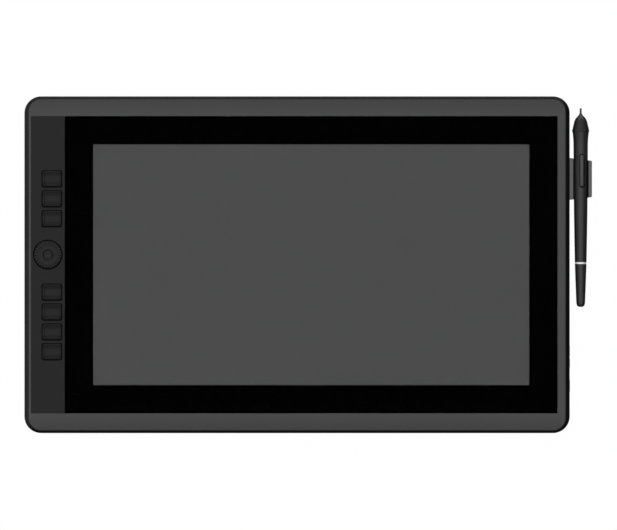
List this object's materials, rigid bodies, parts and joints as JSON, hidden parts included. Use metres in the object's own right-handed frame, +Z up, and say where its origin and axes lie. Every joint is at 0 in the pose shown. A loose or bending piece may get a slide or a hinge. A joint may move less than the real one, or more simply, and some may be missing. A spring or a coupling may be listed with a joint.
{
  "type": "graphics tablet with screen",
  "caption": "Flat pen display with a grey frame, black-bordered screen, key strip with dial at the left, and a pen in a side cradle.",
  "frame": {"origin": "on the desk plane that the rubber feet stand on, under the middle of the whole object in plan, with the pen and its holder", "axes": "+X to the user's right, +Y away from the user, +Z up out of the screen"},
  "size_m": [0.4518, 0.268, 0.0161],
  "materials": {
    "cover_black": "fine-grained matte moulding",
    "frame_grey": "dark anodised, satin",
    "panel_black": "fine-grained matte moulding",
    "key_black": "soft matte, edges a little polished",
    "dial_black": "matte with a knurled rim",
    "cover_glass": "etched, anti-glare",
    "border_black": "printed black",
    "tape_black": "foam tape",
    "screen_grey": "unlit screen behind matte glass",
    "diffuser_white": "milky film",
    "guide_clear": "clear",
    "led_white": "white board with lamps",
    "sheet_metal": "zinc-plated sheet",
    "board_green": "green lacquered board",
    "chip_black": "moulded",
    "socket_steel": "drawn sheet",
    "ribbon_amber": "polyimide film",
    "screw_black": "blackened",
    "foot_rubber": "matte",
    "leg_black": "fine-grained matte moulding",
    "side_button_black": "matte",
    "holder_grey": "satin",
    "pen_black": "soft-touch satin",
    "pen_button_black": "satin",
    "ring_champagne": "anodised champagne, satin",
    "nib_grey": "hard plastic",
    "ferrite_grey": "sintered",
    "coil_copper": "enamelled wire"
  },
  "bodies": {
    "tablet": {"rear_cover": "cover_black", "front_frame": "frame_grey", "key_panel": "panel_black", "cover_glass": "cover_glass", "black_border": "border_black", "glass_tape": "tape_black", "lcd_cell": "screen_grey", "diffuser_sheet": "diffuser_white", "light_guide": "guide_clear", "led_strip": "led_white", "lcd_tray": "sheet_metal", "digitizer_board": "board_green", "shield_plate": "sheet_metal", "main_board": "board_green", "board_chips": "chip_black", "usb_socket_upper": "socket_steel", "usb_socket_lower": "socket_steel", "usb_tongues": "chip_black", "key_board": "board_green", "key_switches": "chip_black", "dial_encoder": "chip_black", "dial_switch": "chip_black", "side_switches": "chip_black", "display_ribbon": "ribbon_amber", "digitizer_ribbon": "ribbon_amber", "key_ribbon": "ribbon_amber", "case_screws": "screw_black", "tray_screws": "screw_black", "board_screws": "screw_black", "rubber_feet": "foot_rubber", "leg_hinge_pins": "socket_steel", "pen_holder": "holder_grey"},
    "key_1": {"express_key_1": "key_black"},
    "key_2": {"express_key_2": "key_black"},
    "key_3": {"express_key_3": "key_black"},
    "key_4": {"express_key_4": "key_black"},
    "key_5": {"express_key_5": "key_black"},
    "key_6": {"express_key_6": "key_black"},
    "key_7": {"express_key_7": "key_black"},
    "dial_wheel": {"dial": "dial_black"},
    "dial_push": {"dial_button": "dial_black"},
    "brightness_up": {"brightness_up_button": "side_button_black"},
    "brightness_down": {"brightness_down_button": "side_button_black"},
    "power": {"power_button": "side_button_black"},
    "leg_left": {"left_leg": "leg_black", "left_leg_tip": "foot_rubber"},
    "leg_right": {"right_leg": "leg_black", "right_leg_tip": "foot_rubber"},
    "pen": {"pen_barrel": "pen_black", "pen_nose_cone": "pen_black", "pen_ring": "ring_champagne", "pen_tail_cap": "pen_black", "pen_ferrite": "ferrite_grey", "pen_coil": "coil_copper", "pen_pressure_sensor": "chip_black", "pen_circuit_board": "board_green"},
    "pen_rocker": {"pen_button": "pen_button_black"},
    "nib": {"pen_nib": "nib_grey"}
  },
  "joints": [
    {"name": "key_1_press", "type": "slide", "parent": "tablet", "child": "key_1", "axis": [0, 0, -1], "range_m": [0, 0.0006], "stiffness_N_per_m": 600, "springref_m": -0.0003},
    {"name": "key_2_press", "type": "slide", "parent": "tablet", "child": "key_2", "axis": [0, 0, -1], "range_m": [0, 0.0006], "stiffness_N_per_m": 600, "springref_m": -0.0003},
    {"name": "key_3_press", "type": "slide", "parent": "tablet", "child": "key_3", "axis": [0, 0, -1], "range_m": [0, 0.0006], "stiffness_N_per_m": 600, "springref_m": -0.0003},
    {"name": "key_4_press", "type": "slide", "parent": "tablet", "child": "key_4", "axis": [0, 0, -1], "range_m": [0, 0.0006], "stiffness_N_per_m": 600, "springref_m": -0.0003},
    {"name": "key_5_press", "type": "slide", "parent": "tablet", "child": "key_5", "axis": [0, 0, -1], "range_m": [0, 0.0006], "stiffness_N_per_m": 600, "springref_m": -0.0003},
    {"name": "key_6_press", "type": "slide", "parent": "tablet", "child": "key_6", "axis": [0, 0, -1], "range_m": [0, 0.0006], "stiffness_N_per_m": 600, "springref_m": -0.0003},
    {"name": "key_7_press", "type": "slide", "parent": "tablet", "child": "key_7", "axis": [0, 0, -1], "range_m": [0, 0.0006], "stiffness_N_per_m": 600, "springref_m": -0.0003},
    {"name": "dial_turn", "type": "hinge", "parent": "tablet", "child": "dial_wheel", "pos_m": [-0.20712, 0.0081, 0.0143], "axis": [0, 0, 1], "continuous": true},
    {"name": "dial_push", "type": "slide", "parent": "tablet", "child": "dial_push", "axis": [0, 0, -1], "range_m": [0, 0.0005], "stiffness_N_per_m": 600, "springref_m": -0.0003},
    {"name": "brightness_up_press", "type": "slide", "parent": "tablet", "child": "brightness_up", "axis": [-1, 0, 0], "range_m": [0, 0.0003], "stiffness_N_per_m": 1000, "springref_m": -0.0002},
    {"name": "brightness_down_press", "type": "slide", "parent": "tablet", "child": "brightness_down", "axis": [-1, 0, 0], "range_m": [0, 0.0003], "stiffness_N_per_m": 1000, "springref_m": -0.0002},
    {"name": "power_press", "type": "slide", "parent": "tablet", "child": "power", "axis": [-1, 0, 0], "range_m": [0, 0.0003], "stiffness_N_per_m": 1000, "springref_m": -0.0002},
    {"name": "leg_left_fold", "type": "hinge", "parent": "tablet", "child": "leg_left", "pos_m": [-0.12887, 0.105, 0.00433], "axis": [1, 0, 0], "range_deg": [0, 90]},
    {"name": "leg_right_fold", "type": "hinge", "parent": "tablet", "child": "leg_right", "pos_m": [0.11113, 0.105, 0.00433], "axis": [1, 0, 0], "range_deg": [0, 90]},
    {"name": "pen_lift", "type": "slide", "parent": "tablet", "child": "pen", "axis": [0, 0, 1], "range_m": [0, 0.04]},
    {"name": "pen_rocker_tilt", "type": "hinge", "parent": "pen", "child": "pen_rocker", "pos_m": [0.21708, 0.0747, 0.01308], "axis": [1, 0, 0], "range_deg": [-1.5, 1.5], "stiffness_Nm_per_rad": 0.02},
    {"name": "nib_press", "type": "slide", "parent": "pen", "child": "nib", "axis": [0, -1, 0], "range_m": [0, 0.0005], "stiffness_N_per_m": 1000, "springref_m": -0.0002}
  ]
}
